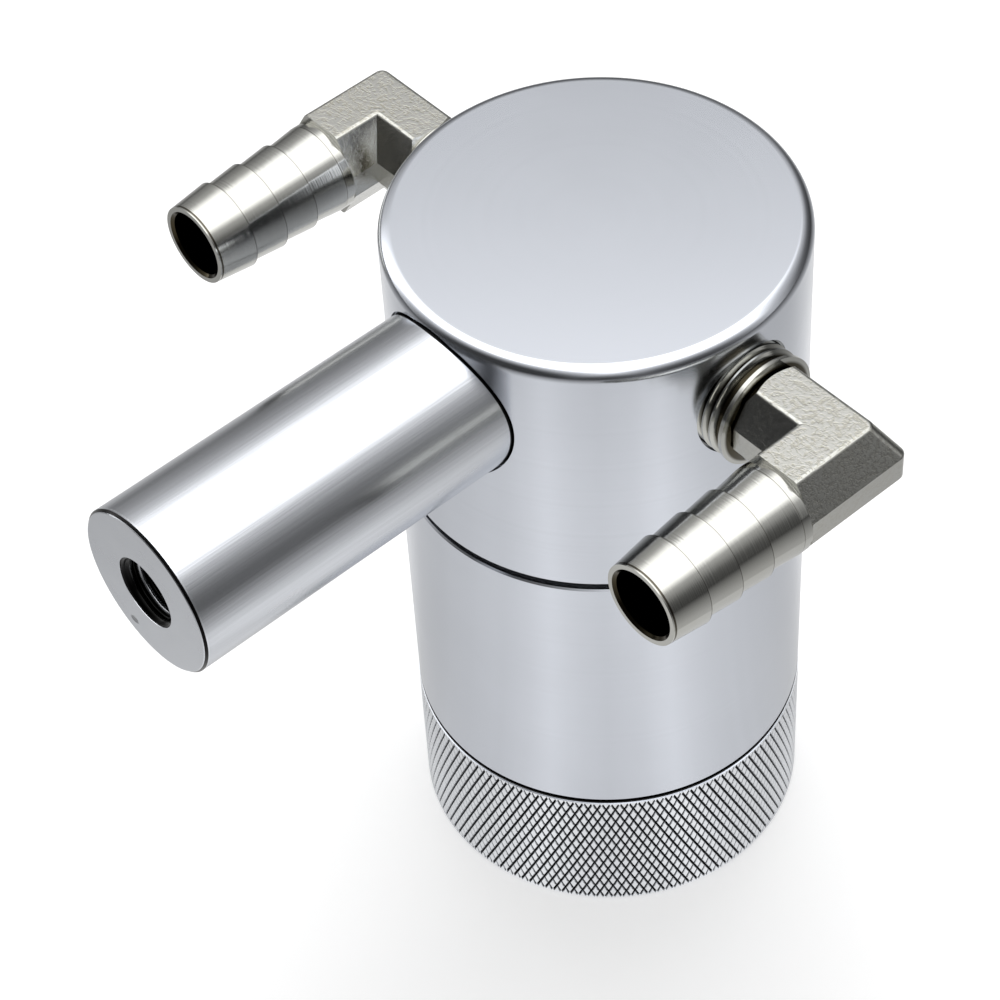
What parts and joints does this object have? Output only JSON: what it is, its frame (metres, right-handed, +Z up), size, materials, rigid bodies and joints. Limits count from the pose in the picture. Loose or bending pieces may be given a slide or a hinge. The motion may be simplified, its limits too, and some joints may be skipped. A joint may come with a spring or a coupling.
{
  "type": "oil catch can",
  "caption": "Turned aluminium oil catch can with a knurled screw-on cup, two forged hose elbows and a round side arm with a threaded end.",
  "frame": {"origin": "centre of the cup's flat base", "axes": "+Z up the axis of the can, -Y along the mounting arm, the two ports on +X and -X with both barbs towards -Y"},
  "size_m": [0.1064, 0.1101, 0.12],
  "materials": {
    "polished_aluminium": "polished",
    "brushed_aluminium": "satin",
    "black_rubber": "matte",
    "screw_steel": "satin",
    "nickel_brass": "polished",
    "tube_aluminium": "satin",
    "stainless": "satin",
    "wire_mesh": "matte"
  },
  "bodies": {
    "head_assembly": {"head": "polished_aluminium", "mounting_arm": "brushed_aluminium", "arm_screw": "screw_steel", "arm_seal_washer": "screw_steel", "arm_dowel": "screw_steel", "inlet_elbow": "nickel_brass", "outlet_elbow": "nickel_brass", "drop_tube": "tube_aluminium", "tube_ferrule": "nickel_brass", "centre_stud": "screw_steel", "upper_spacer": "tube_aluminium", "lower_spacer": "tube_aluminium", "upper_screen": "stainless", "lower_screen": "stainless", "filter_pad": "wire_mesh", "splash_plate": "stainless", "stud_washer": "screw_steel", "stud_nut": "screw_steel"},
    "seal": {"cup_seal": "black_rubber"},
    "cup": {"cup": "polished_aluminium"}
  },
  "joints": [
    {"name": "cup_travel", "type": "slide", "parent": "head_assembly", "child": "seal", "axis": [0, 0, -1], "range_m": [0, 0.012]},
    {"name": "cup_turn", "type": "hinge", "parent": "seal", "child": "cup", "pos_m": [0, 0, 0.07], "axis": [0, 0, -1], "range_deg": [0, 2160]}
  ],
  "couplings": [
    {"joint": "cup_travel", "follows": "cup_turn", "m_per_rad": 0.0003183}
  ]
}
